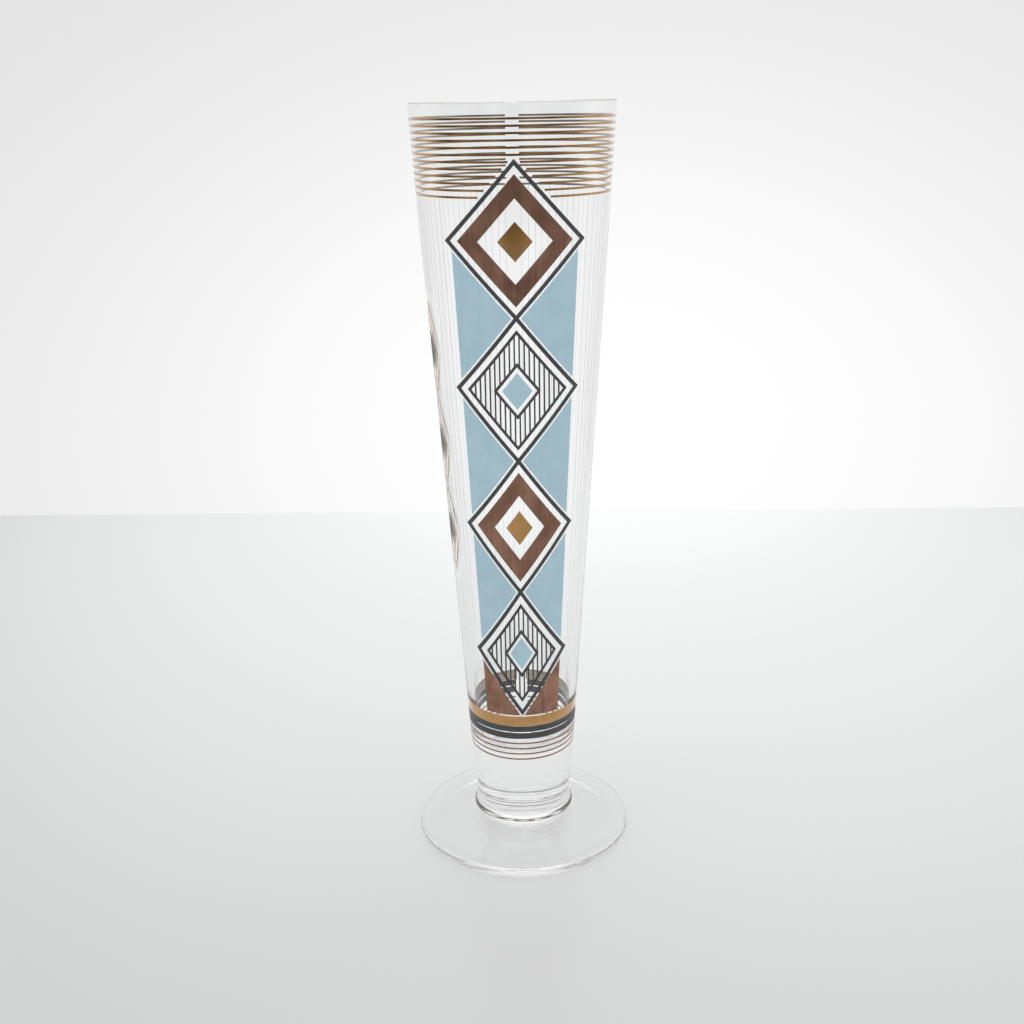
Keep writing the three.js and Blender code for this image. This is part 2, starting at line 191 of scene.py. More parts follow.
filmTexture = {
    "cloudScale": 160,
    "cloudDetail": 3,
    "cloudRoughness": 0.55,
    "streakScale": 900,
    "streakDetail": 2,
    "streakSqueeze": 0.04,   # streaks are 25 times as long up the glass as they are wide
    "thinFrom": 0.45,
    "thinTo": 1.0,
    "speckScale": 700,
    "speckCore": 0.05,
    "speckEdge": 0.09,
    "speckLevel": 0.75,
    "grainScale": 2600,
    "grainDetail": 2,
    "grainDepth": 0.02 * mm,
}


# Fired film: clouds where the film is thicker or thinner, upright squeegee streaks, pinholes,
# and a grain so fine that it only breaks up the gloss
def makeFiredFilm():
    s = filmTexture
    tree, inlet, outlet = newGroup(
        "firedFilm",
        [
            ("Vector", "NodeSocketVector"),
            ("Full Color", "NodeSocketColor"),
            ("Thin Color", "NodeSocketColor"),
            ("Roughness", "NodeSocketFloat"),
            ("Roughness Spread", "NodeSocketFloat"),
            ("Streaks", "NodeSocketFloat"),
            ("Grain", "NodeSocketFloat"),
        ],
        [
            ("Color", "NodeSocketColor"),
            ("Roughness", "NodeSocketFloat"),
            ("Normal", "NodeSocketVector"),
        ],
    )
    nodes = tree.nodes
    link = tree.links.new

    clouds = addNoise(nodes, s["cloudScale"], s["cloudDetail"], s["cloudRoughness"])
    link(inlet.outputs["Vector"], clouds.inputs["Vector"])
    stretch = nodes.new("ShaderNodeMapping")
    stretch.inputs["Scale"].default_value = (1, 1, s["streakSqueeze"])
    link(inlet.outputs["Vector"], stretch.inputs["Vector"])
    streaks = addNoise(nodes, s["streakScale"], s["streakDetail"])
    link(stretch.outputs["Vector"], streaks.inputs["Vector"])
    streakShare = addMath(nodes, "MULTIPLY")
    link(streaks.outputs["Fac"], streakShare.inputs[0])
    link(inlet.outputs["Streaks"], streakShare.inputs[1])
    thin = addMath(nodes, "ADD")
    link(clouds.outputs["Fac"], thin.inputs[0])
    link(streakShare.outputs[0], thin.inputs[1])
    thinShare = addRange(nodes, s["thinFrom"], s["thinTo"], 0, 1, smooth=True)
    link(thin.outputs[0], thinShare.inputs["Value"])

    share, full, sparse, mixed = addColorMix(nodes)
    link(thinShare.outputs["Result"], share)
    link(inlet.outputs["Full Color"], full)
    link(inlet.outputs["Thin Color"], sparse)

    specks = nodes.new("ShaderNodeTexVoronoi")
    specks.inputs["Scale"].default_value = s["speckScale"]
    link(inlet.outputs["Vector"], specks.inputs["Vector"])
    speckMask = addRange(nodes, s["speckCore"], s["speckEdge"], s["speckLevel"], 1)
    link(specks.outputs["Distance"], speckMask.inputs["Value"])
    amount, under, over, result = addColorMix(nodes, "MULTIPLY")
    amount.default_value = 1
    link(mixed, under)
    link(speckMask.outputs["Result"], over)
    link(result, outlet.inputs["Color"])

    spread = addMath(nodes, "MULTIPLY")
    link(thinShare.outputs["Result"], spread.inputs[0])
    link(inlet.outputs["Roughness Spread"], spread.inputs[1])
    rough = addMath(nodes, "ADD")
    link(inlet.outputs["Roughness"], rough.inputs[0])
    link(spread.outputs[0], rough.inputs[1])
    link(rough.outputs[0], outlet.inputs["Roughness"])

    grain = addNoise(nodes, s["grainScale"], s["grainDetail"])
    link(inlet.outputs["Vector"], grain.inputs["Vector"])
    bump = nodes.new("ShaderNodeBump")
    bump.inputs["Distance"].default_value = s["grainDepth"]
    link(inlet.outputs["Grain"], bump.inputs["Strength"])
    link(grain.outputs["Fac"], bump.inputs["Height"])
    link(bump.outputs["Normal"], outlet.inputs["Normal"])
    return tree


glassSettings = {
    "waveScale": 55,
    "waveDetail": 1,
    "waveDepth": 0.1 * mm,
    "wave": 0.05,
    "tint": (0.994, 0.999, 0.997, 1),
    "bending": 1.5,
    "letThrough": 0.12,    # what is left of the glass for the rays that it lets pass
    "wallBounces": 6,      # after this many bounces the bowl lets light out
    "thickBounces": 32,    # and the foot and the bead after this many
    "jointTint": (0.985, 0.993, 0.99, 1),
}


# Fire-polished glass: a slow waviness left by the mould
def makeGlassSkin():
    s = glassSettings
    tree, inlet, outlet = newGroup(
        "glassSkin",
        [("Vector", "NodeSocketVector"), ("Wave", "NodeSocketFloat")],
        [("Normal", "NodeSocketVector")],
    )
    nodes = tree.nodes
    link = tree.links.new
    waves = addNoise(nodes, s["waveScale"], s["waveDetail"])
    link(inlet.outputs["Vector"], waves.inputs["Vector"])
    bump = nodes.new("ShaderNodeBump")
    bump.inputs["Distance"].default_value = s["waveDepth"]
    link(inlet.outputs["Wave"], bump.inputs["Strength"])
    link(waves.outputs["Fac"], bump.inputs["Height"])
    link(bump.outputs["Normal"], outlet.inputs["Normal"])
    return tree


firedFilm = makeFiredFilm()
glassSkin = makeGlassSkin()


# Finishes

# Colours where a film is full and where it is thin, roughness, strength of its streaks and its
# grain, and whether it is metal. Fired gold has a clear skin of flux over it, the coat, which turns
# it paler where it is seen along its face.
filmFinishes = {
    "firedGold": {
        "full": (204, 154, 88), "thin": (178, 128, 68),
        "roughness": 0.16, "streaks": 0.35, "grain": 0.1, "metallic": 1, "coat": 1,
    },
    "goldUnderside": {
        "full": (200, 184, 164), "thin": (176, 158, 142),
        "roughness": 0.2, "streaks": 0.2, "grain": 0.1, "metallic": 1, "coat": 0,
    },
    "fineLines": {
        "full": (150, 140, 132), "thin": (130, 121, 114),
        "roughness": 0.3, "streaks": 0.2, "grain": 0.1, "metallic": 1, "coat": 0,
    },
    "firedCopper": {
        "full": (174, 134, 114), "thin": (140, 104, 88),
        "roughness": 0.3, "streaks": 0.5, "grain": 0.2, "metallic": 1, "coat": 0,
    },
    "copperUnderside": {
        "full": (150, 122, 106), "thin": (126, 102, 90),
        "roughness": 0.26, "streaks": 0.2, "grain": 0.1, "metallic": 1, "coat": 0,
    },
    "charcoalEnamel": {
        "full": (62, 62, 65), "thin": (76, 76, 78),
        "roughness": 0.38, "streaks": 0.3, "grain": 0.3, "metallic": 0, "coat": 0,
    },
    "paleBlueEnamel": {
        "full": (174, 206, 220), "thin": (186, 216, 228),
        "roughness": 0.4, "streaks": 0.3, "grain": 0.3, "metallic": 0, "coat": 0,
    },
}
coatSettings = {"roughness": 0.05, "bending": 1.6}
roughnessSpread = 0.1


def makeFilmMaterial(name):
    s = filmFinishes[name]
    material, shader = newMaterial(name)
    nodes = material.node_tree.nodes
    link = material.node_tree.links.new
    place = nodes.new("ShaderNodeTexCoord")
    effect = placeGroup(nodes, firedFilm, {
        "Full Color": screenColor(*s["full"]),
        "Thin Color": screenColor(*s["thin"]),
        "Roughness": s["roughness"],
        "Roughness Spread": roughnessSpread,
        "Streaks": s["streaks"],
        "Grain": s["grain"],
    })
    link(place.outputs["Object"], effect.inputs["Vector"])
    link(effect.outputs["Color"], shader.inputs["Base Color"])
    link(effect.outputs["Roughness"], shader.inputs["Roughness"])
    link(effect.outputs["Normal"], shader.inputs["Normal"])
    shader.inputs["Metallic"].default_value = s["metallic"]
    shader.inputs["Coat Weight"].default_value = s["coat"]
    shader.inputs["Coat Roughness"].default_value = coatSettings["roughness"]
    shader.inputs["Coat IOR"].default_value = coatSettings["bending"]
    return material


# Light on its way to the table goes nearly straight through thin clear glass, so the glass lets
# the rays pass that gather light for other surfaces; seen directly it bends light as glass does.
# A real wall leads light on inside it until it comes out. Here light that has bounced more often
# than the limit says is let out straight, as it would otherwise be counted as black.
def makeGlassMaterial(name, innerBounces):
    s = glassSettings
    material, shader = newMaterial(name)
    nodes = material.node_tree.nodes
    link = material.node_tree.links.new
    place = nodes.new("ShaderNodeTexCoord")
    effect = placeGroup(nodes, glassSkin, {"Wave": s["wave"]})
    link(place.outputs["Object"], effect.inputs["Vector"])
    link(effect.outputs["Normal"], shader.inputs["Normal"])
    shader.inputs["Roughness"].default_value = 0
    shader.inputs["Base Color"].default_value = s["tint"]
    shader.inputs["Transmission Weight"].default_value = 1
    shader.inputs["IOR"].default_value = s["bending"]
    rays = nodes.new("ShaderNodeLightPath")
    passes = addMath(nodes, "MAXIMUM")
    link(rays.outputs["Is Shadow Ray"], passes.inputs[0])
    link(rays.outputs["Is Diffuse Ray"], passes.inputs[1])
    spent = addMath(nodes, "GREATER_THAN", second=innerBounces)
    link(rays.outputs["Ray Depth"], spent.inputs[0])
    letThrough = addMath(nodes, "MAXIMUM")
    link(passes.outputs[0], letThrough.inputs[0])
    link(spent.outputs[0], letThrough.inputs[1])
    solid = addRange(nodes, 0, 1, 1, s["letThrough"])
    link(letThrough.outputs[0], solid.inputs["Value"])
    link(solid.outputs["Result"], shader.inputs["Alpha"])
    return material


# Where two gathers are melted together there is no surface left for light to meet
def makeJointMaterial():
    material, shader = newMaterial("meltedJoint")
    shader.inputs["Base Color"].default_value = glassSettings["jointTint"]
    shader.inputs["Alpha"].default_value = 0
    return material


wallGlass = makeGlassMaterial("wallGlass", glassSettings["wallBounces"])
thickGlass = makeGlassMaterial("thickGlass", glassSettings["thickBounces"])
meltedJoint = makeJointMaterial()
goldFace = makeFilmMaterial("firedGold")
goldBack = makeFilmMaterial("goldUnderside")
lineFace = makeFilmMaterial("fineLines")
copperFace = makeFilmMaterial("firedCopper")
copperBack = makeFilmMaterial("copperUnderside")
charcoalFace = makeFilmMaterial("charcoalEnamel")
blueFace = makeFilmMaterial("paleBlueEnamel")
print("finishes made:", len(bpy.data.materials))


# Glass bodies

turnSettings = {
    "sides": 256,
    "sharpAngle": math.radians(35),
    "jointSteps": 4,
    "jointReach": 0.001 * mm,   # a face this near a joint's height lies in the joint
}


# Points of a quadratic or cubic curve, as whole arrays: each control point weighted by its
# Bernstein share along the curve, the first point left out because the run before ends on it
def curveRun(controls, steps):
    t = np.linspace(0, 1, steps + 1)[1:, None]
    degree = len(controls) - 1
    weights = [
        math.comb(degree, k) * t ** k * (1 - t) ** (degree - k) for k in range(degree + 1)]
    return sum(w * np.array(p, float) for w, p in zip(weights, controls))


# Points of an arc about a centre, between two angles in degrees, without its first point
def arcRun(centre, radius, fromDegrees, toDegrees, steps):
    angle = np.radians(np.linspace(fromDegrees, toDegrees, steps + 1)[1:])
    return np.stack([centre[0] + radius * np.cos(angle), centre[1] + radius * np.sin(angle)], 1)


# A straight run, without its first point. Its points crowd towards both ends, by a half wave of
# the cosine, so that the smooth shading of a bend beside it stays near the bend.
def lineRun(start, end, steps):
    share = (1 - np.cos(np.linspace(0, np.pi, steps + 1)[1:, None])) / 2
    return np.array(start, float) * (1 - share) + np.array(end, float) * share


# A closed turned body: the profile of radius and height runs from the axis below, out, up and
# back to the axis; x is the radius times the cosine of the turn and y times its sine
def turnedBody(name, profile):
    sides = turnSettings["sides"]
    ring = profile[1:-1]
    turn = np.arange(sides) * (2 * np.pi / sides)
    x = ring[:, :1] * np.cos(turn)
    y = ring[:, :1] * np.sin(turn)
    z = np.repeat(ring[:, 1:], sides, axis=1)
    points = np.stack([x, y, z], 2).reshape(-1, 3)
    poles = [[0, 0, profile[0, 1]], [0, 0, profile[-1, 1]]]
    verts = np.concatenate([points, poles])
    here = np.arange(sides)
    following = np.roll(here, -1)
    rows = np.arange(len(ring) - 1)[:, None] * sides
    above = rows + sides
    quads = np.stack([rows + here, rows + following, above + following, above + here], 2)
    lowPole = np.full(sides, len(points))
    highPole = lowPole + 1
    last = (len(ring) - 1) * sides
    caps = [
        np.stack([following, here, lowPole], 1),
        np.stack([last + here, last + following, highPole], 1),
    ]
    faces = quads.reshape(-1, 4).tolist() + np.concatenate(caps).tolist()
    mesh = bpy.data.meshes.new(name)
    mesh.from_pydata(verts.tolist(), [], faces)
    mesh.polygons.foreach_set("use_smooth", np.ones(len(mesh.polygons), bool))
    mesh.set_sharp_from_angle(angle=turnSettings["sharpAngle"])
    body = bpy.data.objects.new(name, mesh)
    bpy.context.scene.collection.objects.link(body)
    return body


# The flat faces at a joint get the melted finish, which is the body's second
def meltFaces(body, height):
    mesh = body.data
    middles = np.zeros(len(mesh.polygons) * 3, np.float32)
    mesh.polygons.foreach_get("center", middles)
    flat = np.abs(middles.reshape(-1, 3)[:, 2] - height) < turnSettings["jointReach"]
    indices = np.zeros(len(mesh.polygons), np.int32)
    mesh.polygons.foreach_get("material_index", indices)
    indices[flat] = 1
    mesh.polygons.foreach_set("material_index", indices)


def finishGlass(body, node, glass, jointHeights):
    body.data.materials.append(glass)
    body.data.materials.append(meltedJoint)
    for height in jointHeights:
        meltFaces(body, height)
    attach(body, "root")
    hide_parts(node)


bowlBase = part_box("bowl")[0].z
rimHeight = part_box("bowl")[1].z
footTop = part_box("foot")[1].z
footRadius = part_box("foot")[1].x
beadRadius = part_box("stem_bead")[1].x

footSettings = {
    "edgeThickness": 3.2 * mm,
    "restingRing": 4.6 * mm,
    "hollowDepth": 3.6 * mm,
    "hollowShare": 0.5,
    "flareShare": 0.4,
    "crownShare": 0.12,
    "hollowSteps": 24,
    "restingSteps": 3,
    "edgeSteps": 20,
    "topSteps": 32,
}
beadSettings = {
    "footRadius": 15 * mm,
    "waistRadius": 16.5 * mm,
    "bellyHeightShare": 0.42,
    "bellyPullShare": 0.15,
    "neckPullShare": 0.45,
    "lowerSteps": 12,
    "upperSteps": 20,
}
bowlSettings = {
    "stemEndLength": 18.2 * mm,
    "uprightShare": 0.4,
    "flareShare": 0.67,
    "solidBase": 20.4 * mm,
    "cavityRise": 9 * mm,
    "wallAtRim": 1.1 * mm,
    "wallAtBase": 2.4 * mm,
    "stemSteps": 24,
    "wallSteps": 72,
    "lipSteps": 18,
    "floorSteps": 32,
}


def makeFoot():
    s = footSettings
    depth = s["hollowDepth"]
    edge = s["edgeThickness"] / 2
    outer = footRadius - edge
    inner = outer - s["restingRing"]
    neck = beadSettings["footRadius"]
    flareRadius = neck + (outer - neck) * s["flareShare"]
    flareHeight = s["edgeThickness"] + (footTop - s["edgeThickness"]) * s["crownShare"]
    profile = np.concatenate([
        [[0, depth]],
        curveRun([(0, depth), (inner * s["hollowShare"], depth), (inner, 0)], s["hollowSteps"]),
        lineRun((inner, 0), (outer, 0), s["restingSteps"]),
        arcRun((outer, edge), edge, -90, 90, s["edgeSteps"]),
        curveRun([(outer, 2 * edge), (flareRadius, flareHeight), (neck, footTop)], s["topSteps"]),
        lineRun((neck, footTop), (0, footTop), turnSettings["jointSteps"]),
    ])
    body = turnedBody("footGlass", profile)
    finishGlass(body, "foot", thickGlass, [footTop])


def makeBead():
    s = beadSettings
    rise = bowlBase - footTop
    belly = footTop + rise * s["bellyHeightShare"]
    neck = s["footRadius"]
    waist = s["waistRadius"]
    jointSteps = turnSettings["jointSteps"]
    profile = np.concatenate([
        [[0, footTop]],
        lineRun((0, footTop), (neck, footTop), jointSteps),
        curveRun([(neck, footTop), (beadRadius, footTop), (beadRadius, belly)], s["lowerSteps"]),
        curveRun([
            (beadRadius, belly),
            (beadRadius, belly + rise * s["bellyPullShare"]),
            (waist, bowlBase - rise * s["neckPullShare"]),
            (waist, bowlBase),
        ], s["upperSteps"]),
        lineRun((waist, bowlBase), (0, bowlBase), jointSteps),
    ])
    body = turnedBody("stemBeadGlass", profile)
    finishGlass(body, "stem_bead", thickGlass, [footTop, bowlBase])


def makeBowl():
    s = bowlSettings
    waist = beadSettings["waistRadius"]
    coneStart = bowlBase + s["stemEndLength"]
    upright = bowlBase + s["stemEndLength"] * s["uprightShare"]
    flare = bowlBase + s["stemEndLength"] * s["flareShare"]
    startPoint = (coneRadius(coneStart), coneStart)
    floorHeight = bowlBase + s["solidBase"]
    wallEnd = floorHeight + s["cavityRise"]
    cavityRadius = coneRadius(wallEnd) - s["wallAtBase"]
    lip = s["wallAtRim"] / 2
    lipMiddle = (coneRadius(rimHeight - lip) - lip, rimHeight - lip)
    outerLean = math.atan(coneSlope)
    innerLean = math.atan((lipMiddle[0] - lip - cavityRadius) / (lipMiddle[1] - wallEnd))
    lipStart = (lipMiddle[0] + lip * math.cos(outerLean), lipMiddle[1] - lip * math.sin(outerLean))
    lipArc = arcRun(
        lipMiddle, lip, -math.degrees(outerLean), 180 - math.degrees(innerLean), s["lipSteps"])
    stemEnd = [(waist, bowlBase), (waist, upright), (coneRadius(flare), flare), startPoint]
    roundFloor = [(cavityRadius, wallEnd), (cavityRadius, floorHeight), (0, floorHeight)]
    profile = np.concatenate([
        [[0, bowlBase]],
        lineRun((0, bowlBase), (waist, bowlBase), turnSettings["jointSteps"]),
        curveRun(stemEnd, s["stemSteps"]),
        lineRun(startPoint, lipStart, s["wallSteps"]),
        lipArc,
        lineRun(lipArc[-1], (cavityRadius, wallEnd), s["wallSteps"]),
        curveRun(roundFloor, s["floorSteps"]),
    ])
    body = turnedBody("bowlGlass", profile)
    finishGlass(body, "bowl", wallGlass, [bowlBase])


makeFoot()
makeBead()
makeBowl()
print("glass made: foot, bead and bowl")


# Print films

# A patch of film on the wall, as arrays of turn angle and height. Its four corners are blended
# two ways: along one pair of sides and across the other. Corners are points of angle and height.
def wallPatch(corners, along, across):
    u = np.linspace(0, 1, along + 1)[:, None, None]
    v = np.linspace(0, 1, across + 1)[None, :, None]
    a, b, c, d = (np.array(corner, float) for corner in corners)
    return (1 - u) * (1 - v) * a + u * (1 - v) * b + u * v * c + (1 - u) * v * d


# The same for corners given as sideways distance and height in the plane that faces the azimuth:
# the angle is the azimuth plus the arc sine of the sideways distance over the wall's radius
def facingPatch(corners, along, across, azimuth=0.0):
    grid = wallPatch(corners, along, across)
    angle = azimuth + np.arcsin(grid[..., 0] / coneRadius(grid[..., 1]))
    return np.stack([angle, grid[..., 1]], 2)


def cellCount(length):
    return max(1, math.ceil(length / filmSettings["cell"]))


# One film of many patches: x is the radius times the sine of the angle and y minus its cosine.
# Patches that share an edge are merged, and the sheet is then given its thickness inwards.
def filmPiece(name, patches, node, slot, face, back, lift=filmSettings["face"]):
    sizes = [grid.shape[0] * grid.shape[1] for grid in patches]
    starts = np.concatenate([[0], np.cumsum(sizes)[:-1]])
    angle = np.concatenate([grid[..., 0].ravel() for grid in patches])
    z = np.concatenate([grid[..., 1].ravel() for grid in patches])
    radius = coneRadius(z) + lift
    verts = np.stack([radius * np.sin(angle), -radius * np.cos(angle), z], 1)
    quads = []
    for grid, start in zip(patches, starts):
        rows, columns = grid.shape[:2]
        index = start + np.arange(rows * columns).reshape(rows, columns)
        cells = np.stack([index[:-1, :-1], index[1:, :-1], index[1:, 1:], index[:-1, 1:]], 2)
        quads.append(cells.reshape(-1, 4))
    mesh = bpy.data.meshes.new(name)
    mesh.from_pydata(verts.tolist(), [], np.concatenate(quads).tolist())
    sheet = bmesh.new()
    sheet.from_mesh(mesh)
    bmesh.ops.remove_doubles(sheet, verts=sheet.verts, dist=filmSettings["mergeReach"])
    bmesh.ops.recalc_face_normals(sheet, faces=sheet.faces)
    turnOutwards(sheet)
    for edge in sheet.edges:
        edge.smooth = not edge.is_boundary
    sheet.to_mesh(mesh)
    sheet.free()
    mesh.polygons.foreach_set("use_smooth", np.ones(len(mesh.polygons), bool))
    mesh.materials.append(face)
    mesh.materials.append(back)
    piece = bpy.data.objects.new(name, mesh)
    bpy.context.scene.collection.objects.link(piece)
    body = piece.modifiers.new("filmThickness", "SOLIDIFY")
    body.thickness = lift + filmSettings["sunk"]
    body.offset = -1
    body.material_offset = 1
    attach(piece, "root")
    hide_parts(node)


# Each loose patch of a sheet may come out of the recalculation facing the axis: those are turned
def turnOutwards(sheet):
    inward = [f for f in sheet.faces if f.normal.xy.dot(f.calc_center_median().xy) < 0]
    bmesh.ops.reverse_faces(sheet, faces=inward)


def seamAngle(z):
    return math.asin(filmSettings["seamGap"] / 2 / coneRadius(z))


def arcPatch(low, high, fromAngle, toAngle):
    steps = max(1, math.ceil((toAngle - fromAngle) / filmSettings["angleStep"]))
    corners = [(fromAngle, low), (toAngle, low), (toAngle, high), (fromAngle, high)]
    return wallPatch(corners, steps, cellCount(high - low))


# Material slot, and the finishes of a film's face and back
gold = ("gold_film", goldFace, goldBack)
fineLine = ("gold_film", lineFace, lineFace)
copper = ("copper_film", copperFace, copperBack)
charcoal = ("charcoal_enamel", charcoalFace, charcoalFace)
paleBlue = ("blue_enamel", blueFace, blueFace)


# A ring all the way round, open at the seam, at the height of the plain solid
def makeRing(node, finish):
    low, high = (corner.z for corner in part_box(node))
    seamSide = math.pi - seamAngle((low + high) / 2)
    filmPiece(node + "_film", [arcPatch(low, high, -seamSide, seamSide)], node, *finish)


# The last gold ring, the fine lines under it and the gold band
fieldSettings = {
    "ringLine": 0.64 * mm,
    "bandHeight": 3.8 * mm,
    "lineWidth": 0.05 * mm,
    "linesEachSide": 28,
    "lineSteps": 8,
}

# The column of lozenges that the front motif is built on. A lozenge is its middle's height, half
# its width and half its height.
motifSettings = {
    "widthShare": 0.68,
    "latticeLine": 1.2 * mm,
    "gap": 0.5 * mm,
    "windowGap": 1.6 * mm,
    "copperFrame": 4.5 * mm,
    "stripeFrame": 0.9 * mm,
    "stripe": 0.5 * mm,
    "stripePitch": 1.5 * mm,
    "stripeCells": 3,   # a cell of a stripe is as long as this many others
    "coreShare": 0.26,
    "coreWindowShare": 0.4,
}


def middleHeight(node):
    return sum(corner.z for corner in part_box(node)) / 2


def findLozenges():
    nodes = [
        "copper_lozenge_upper", "striped_lozenge_upper",
        "copper_lozenge_lower", "striped_lozenge_lower",
    ]
    middles = [middleHeight(node) for node in nodes]
    halfHeight = (middles[0] - middles[-1]) / (len(nodes) - 1) / 2
    share = motifSettings["widthShare"]
    return [(middle, coneRadius(middle) * share, halfHeight) for middle in middles]


lozenges = findLozenges()
clearOfLattice = motifSettings["latticeLine"] / 2 + motifSettings["gap"]


# How far a sideways step in from a lozenge's sloping side moves its side tip and its top tip
def tipShifts(halfWidth, halfHeight, inset):
    slant = math.hypot(halfWidth, halfHeight)
    return inset * slant / halfHeight, inset * slant / halfWidth


# Tips of a lozenge with its sides moved in by the inset: right, top, left, bottom
def lozengeTips(lozenge, inset):
    middle, halfWidth, halfHeight = lozenge
    sideShift, topShift = tipShifts(halfWidth, halfHeight, inset)
    w = halfWidth - sideShift
    h = halfHeight - topShift
    return [(w, middle), (0, middle + h), (-w, middle), (0, middle - h)]


def framePatches(lozenge, outerInset, innerInset):
    outer = lozengeTips(lozenge, outerInset)
    inner = lozengeTips(lozenge, innerInset)
    along = cellCount(math.hypot(lozenge[1], lozenge[2]))
    across = cellCount(innerInset - outerInset)
    return [
        facingPatch([outer[k], outer[k - 3], inner[k - 3], inner[k]], along, across)
        for k in range(4)
    ]


def solidPatch(lozenge, share, azimuth=0.0):
    middle, halfWidth, halfHeight = lozenge
    tips = lozengeTips((middle, halfWidth * share, halfHeight * share), 0)
    steps = cellCount(math.hypot(halfWidth, halfHeight) * share)
    return facingPatch(tips, steps, steps, azimuth)


# Half the opening that the front motif needs in a ring: the lattice's edge at that height
def frontOpening(low, high):
    middle, halfWidth, halfHeight = lozenges[0]
    sideShift, _ = tipShifts(halfWidth, halfHeight, clearOfLattice)
    edge = halfWidth * (middle + halfHeight - low) / halfHeight + sideShift
    return math.asin(edge / coneRadius((low + high) / 2))


def makeHalfRing(node, side):
    low, high = (corner.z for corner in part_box(node))
    inner = frontOpening(low, high)
    outer = math.pi - seamAngle((low + high) / 2)
    span = (inner, outer) if side > 0 else (-outer, -inner)
    filmPiece(node + "_film", [arcPatch(low, high, *span)], node, *gold)


# The front motif rises between the lower gold rings
wholeGoldRings = range(1, 7)
splitGoldRings = range(7, 12)
copperRings = range(1, 5)

for number in wholeGoldRings:
    makeRing(f"gold_ring_{number:02d}", gold)
for number in splitGoldRings:
    makeHalfRing(f"gold_ring_{number:02d}_left", -1)
    makeHalfRing(f"gold_ring_{number:02d}_right", 1)
for number in copperRings:
    makeRing(f"copper_ring_{number}", copper)
makeRing("charcoal_band_upper", charcoal)
makeRing("charcoal_band_lower", charcoal)
print("rings and bands made")


# Side chain: three small lozenges tip to tip on the left flank
chainSettings = {
    "numbers": (1, 2, 3),
    "azimuth": math.radians(-80),
    "line": 1.2 * mm,
    "halfWidth": 6.5 * mm,
    "halfHeight": 15 * mm,
    "coreShare": 0.45,
}


def findChain():
    s = chainSettings
    middles = [middleHeight(f"side_diamond_{number}") for number in s["numbers"]]
    return [(middle, s["halfWidth"], s["halfHeight"]) for middle in middles]


chain = findChain()


# A column of lozenge outlines drawn with one line. At a joint the lines of the two lozenges run
# into each other, so each side's patch stops where their outer edges cross, and a small
# triangle fills the crotch.
def columnPatches(column, line, azimuth=0.0):
    patches = []
    half = line / 2
    across = cellCount(line)
    for k, (middle, halfWidth, halfHeight) in enumerate(column):
        sideShift, topShift = tipShifts(halfWidth, halfHeight, half)
        along = cellCount(math.hypot(halfWidth, halfHeight))
        for upward in (1, -1):
            tip = middle + upward * halfHeight
            neighbour = k - upward
            innerTip = (0, tip - upward * topShift)
            outerTip = (0, tip + upward * topShift)
            joined = 0 <= neighbour < len(column)
            if joined:
                outerTip = crossingPoint(column[k], column[neighbour], tip, half, upward)
            for side in (1, -1):
                corners = [
                    innerTip,
                    (side * (halfWidth - sideShift), middle),
                    (side * (halfWidth + sideShift), middle),
                    (side * outerTip[0], outerTip[1]),
                ]
                patches.append(facingPatch(corners, along, across, azimuth))
                if joined:
                    crotch = [innerTip, (side * outerTip[0], outerTip[1]), (0, tip), (0, tip)]
                    patches.append(facingPatch(crotch, across, 1, azimuth))
    return patches


# Where the outer edges of two neighbouring outlines cross, beside their shared tip
def crossingPoint(own, other, tip, half, upward):
    ownSlope = own[2] / own[1]
    otherSlope = other[2] / other[1]
    ownShift = tipShifts(own[1], own[2], half)[1]
    otherShift = tipShifts(other[1], other[2], half)[1]
    x = (ownShift + otherShift) / (ownSlope + otherSlope)
    return x, tip + upward * (ownShift - ownSlope * x)


# Last gold ring and gold band in one film, and the fine lines between them in another. A line
# keeps its angle down the cone, and is left out where the chain lies.
def makeGoldField():
    low, high = (corner.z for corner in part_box("gold_field"))
    s = fieldSettings
    ringLow = high - s["ringLine"]
    bandTop = low + s["bandHeight"]
    lineMiddle = ((ringLow + high) / 2 + bandTop) / 2
    halfLine = s["lineWidth"] / 2 / coneRadius(lineMiddle)
    margin = (motifSettings["latticeLine"] + motifSettings["gap"]) / coneRadius(lineMiddle)
    firstLine = math.asin(motifSettings["widthShare"]) + math.asin(margin)
    seamSide = math.pi - seamAngle(lineMiddle)
    ringOpening = frontOpening(ringLow, high)
    patches = [
        arcPatch(low, bandTop, -seamSide, seamSide),
        arcPatch(ringLow, high, ringOpening, seamSide),
        arcPatch(ringLow, high, -seamSide, -ringOpening),
    ]
    topMiddle, halfWidth, halfHeight = chain[0]
    lowMiddle = chain[-1][0]
    clearOfChain = chainSettings["line"] / 2 + motifSettings["gap"]
    sideShift, topShift = tipShifts(halfWidth, halfHeight, clearOfChain)
    windowHalf = math.asin((halfWidth + sideShift) / coneRadius(lowMiddle))
    windowHigh = topMiddle + halfHeight + topShift
    windowLow = lowMiddle - halfHeight - topShift
    lines = []
    for middle in np.linspace(firstLine, seamSide - halfLine, s["linesEachSide"]):
        for angle in (-middle, middle):
            spans = [(bandTop, ringLow)]
            if abs(angle - chainSettings["azimuth"]) < windowHalf:
                spans = [(bandTop, windowLow), (windowHigh, ringLow)]
            for bottom, top in spans:
                corners = [(angle - halfLine, bottom), (angle + halfLine, bottom),
                           (angle + halfLine, top), (angle - halfLine, top)]
                lines.append(wallPatch(corners, 1, s["lineSteps"]))
    filmPiece("gold_field_film", patches, "gold_field", *gold)
    filmPiece("fine_lines_film", lines, "gold_field", *fineLine, filmSettings["lineFace"])


